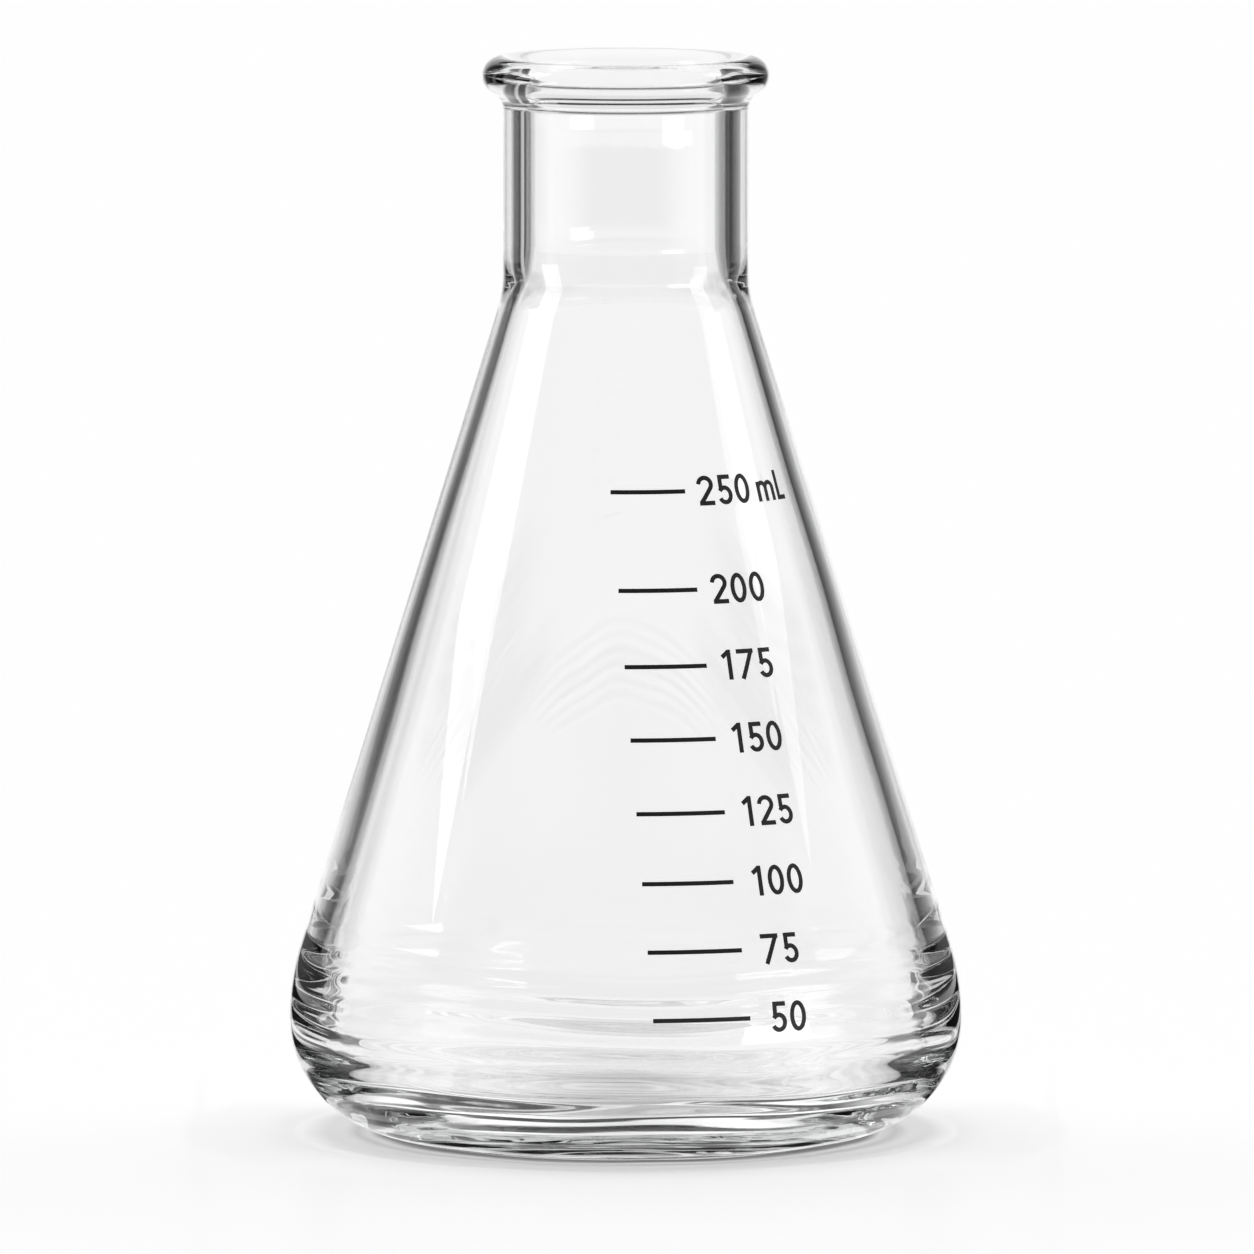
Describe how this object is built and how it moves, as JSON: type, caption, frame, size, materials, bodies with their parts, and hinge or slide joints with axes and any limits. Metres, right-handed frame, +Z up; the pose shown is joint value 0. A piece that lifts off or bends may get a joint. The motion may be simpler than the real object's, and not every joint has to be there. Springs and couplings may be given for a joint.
{
  "type": "erlenmeyer flask",
  "caption": "Clear glass conical laboratory flask with a straight neck, rolled rim bead and thick rounded base, for mixing, heating and storing liquids.",
  "frame": {"origin": "middle of the foot ring, on the plane the flask stands on", "axes": "+Z up along the flask's axis, through the neck and out of the mouth; the printed scale faces -Y"},
  "size_m": [0.085, 0.085, 0.1362],
  "materials": {
    "glass": "clear fire-polished borosilicate glass",
    "graduation_enamel": "black fired enamel print"
  },
  "bodies": {
    "root": {"flask": "glass"}
  },
  "joints": []
}
